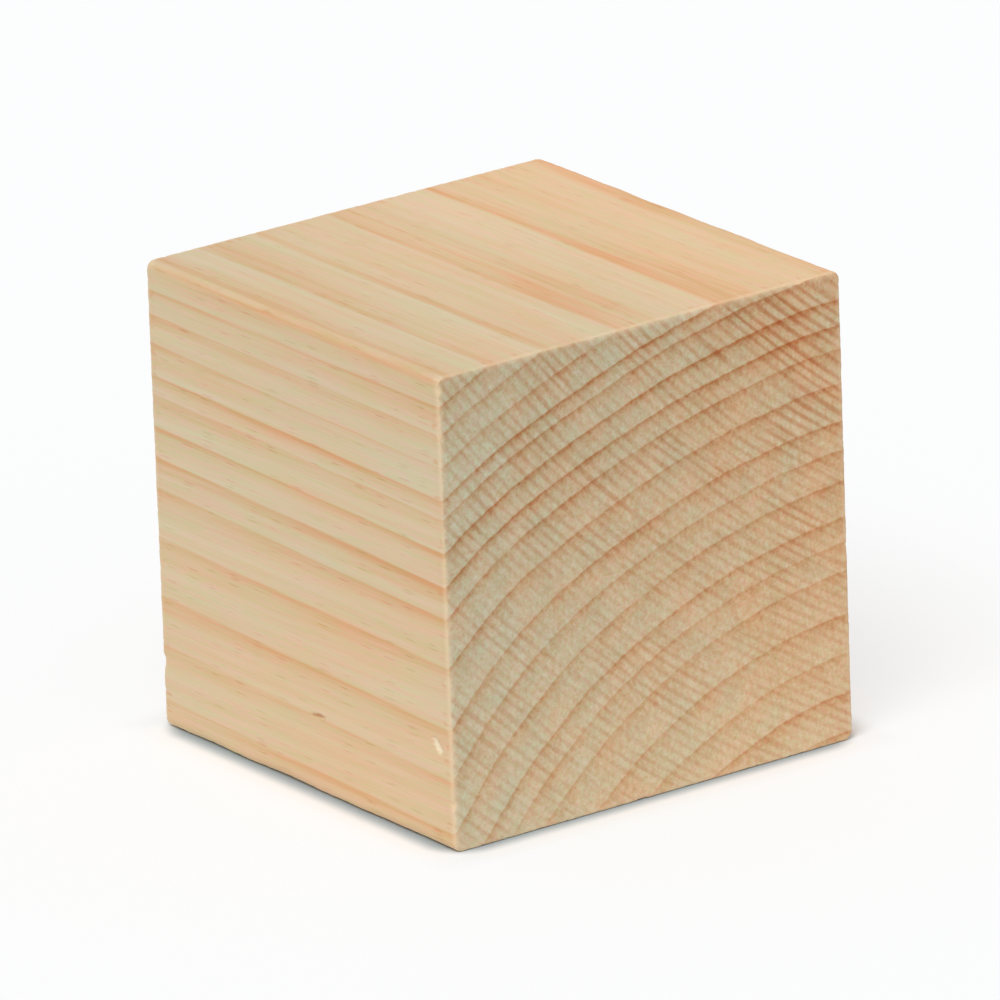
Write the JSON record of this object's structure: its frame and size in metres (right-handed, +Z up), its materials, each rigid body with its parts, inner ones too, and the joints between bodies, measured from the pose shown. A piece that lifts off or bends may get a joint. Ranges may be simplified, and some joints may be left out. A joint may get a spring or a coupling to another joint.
{
  "type": "wooden cube",
  "caption": "Plain cube of pale, unfinished hardwood with lightly eased edges, sawn from a square stick, for stacking, spacing and craft work.",
  "frame": {"origin": "centre of the bottom face, on the surface that the cube stands on", "axes": "+Z up; the grain runs along X, so the sawn end-grain faces are at -X and +X; -Y is the front side-grain face"},
  "size_m": [0.04, 0.04, 0.04],
  "materials": {
    "wood": "bare, fine-sanded hardwood with sawn end grain"
  },
  "bodies": {
    "root": {"wooden_cube": "wood"}
  },
  "joints": []
}
